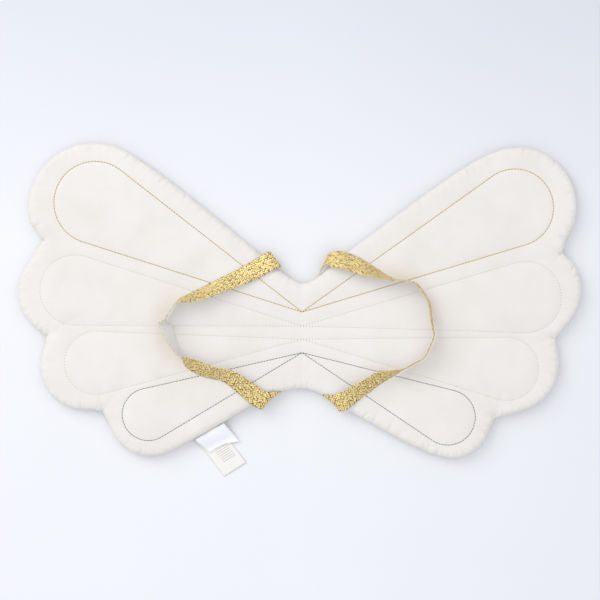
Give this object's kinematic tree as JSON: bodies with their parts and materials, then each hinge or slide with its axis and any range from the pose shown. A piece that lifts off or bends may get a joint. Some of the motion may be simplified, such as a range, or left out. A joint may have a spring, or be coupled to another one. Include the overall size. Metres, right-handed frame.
{
  "type": "fairy wings",
  "caption": "Padded, quilted cotton dress-up wings for a child, with glitter elastic arm straps and sewn-in labels, lying flat with the strap side up.",
  "frame": {"origin": "on the centre fold line, midway between the top and bottom of the object, at the back cover's outer face", "axes": "+X towards the right wing, +Y towards the wings' top edge, +Z out of the strap side"},
  "size_m": [0.6053, 0.3614, 0.0357],
  "materials": {
    "cotton": "matte plain weave",
    "wadding": "soft fleece",
    "ochre_thread": "spun thread",
    "pink_thread": "spun thread",
    "cream_thread": "spun thread",
    "teal_thread": "spun thread",
    "seam_thread": "spun thread",
    "glitter_elastic": "metallic glitter weave",
    "label_satin": "smooth satin ribbon",
    "care_label_tape": "printed nylon tape"
  },
  "bodies": {
    "right_wing": {"front_cover_right": "cotton", "back_cover_right": "cotton", "wadding_right": "wadding", "ochre_thread_front_right": "ochre_thread", "ochre_thread_back_right": "ochre_thread", "pink_thread_front_right": "pink_thread", "pink_thread_back_right": "pink_thread", "cream_thread_front_right": "cream_thread", "cream_thread_back_right": "cream_thread", "teal_thread_front_right": "teal_thread", "teal_thread_back_right": "teal_thread", "seam_thread_right": "seam_thread", "strap_right_top_end": "glitter_elastic", "strap_right_bottom_end": "glitter_elastic"},
    "left_wing": {"front_cover_left": "cotton", "back_cover_left": "cotton", "wadding_left": "wadding", "ochre_thread_front_left": "ochre_thread", "ochre_thread_back_left": "ochre_thread", "pink_thread_front_left": "pink_thread", "pink_thread_back_left": "pink_thread", "cream_thread_front_left": "cream_thread", "cream_thread_back_left": "cream_thread", "teal_thread_front_left": "teal_thread", "teal_thread_back_left": "teal_thread", "seam_thread_left": "seam_thread", "strap_left_top_end": "glitter_elastic", "strap_left_bottom_end": "glitter_elastic"},
    "strap_left": {"strap_left_loop": "glitter_elastic"},
    "strap_right": {"strap_right_loop": "glitter_elastic"},
    "care_label_flap": {"care_label": "care_label_tape"},
    "brand_label_flap": {"brand_label": "label_satin"}
  },
  "joints": [
    {"name": "centre_fold", "type": "hinge", "parent": "right_wing", "child": "left_wing", "pos_m": [0, -0.027, -0.001], "axis": [0, -1, 0], "range_deg": [-10, 160]},
    {"name": "strap_left_swing", "type": "hinge", "parent": "left_wing", "child": "strap_left", "pos_m": [-0.02, -0.02, 0.015], "axis": [0, 1, 0], "range_deg": [0, 80]},
    {"name": "strap_right_swing", "type": "hinge", "parent": "right_wing", "child": "strap_right", "pos_m": [0.02, -0.02, 0.015], "axis": [0, -1, 0], "range_deg": [0, 80]},
    {"name": "care_label_lift", "type": "hinge", "parent": "left_wing", "child": "care_label_flap", "pos_m": [-0.1013, -0.1304, 0.0066], "axis": [-0.8634, -0.5045, 0], "range_deg": [0, 70]},
    {"name": "brand_label_lift", "type": "hinge", "parent": "care_label_flap", "child": "brand_label_flap", "pos_m": [-0.1013, -0.1304, 0.0074], "axis": [-0.8634, -0.5045, 0], "range_deg": [0, 30]}
  ]
}
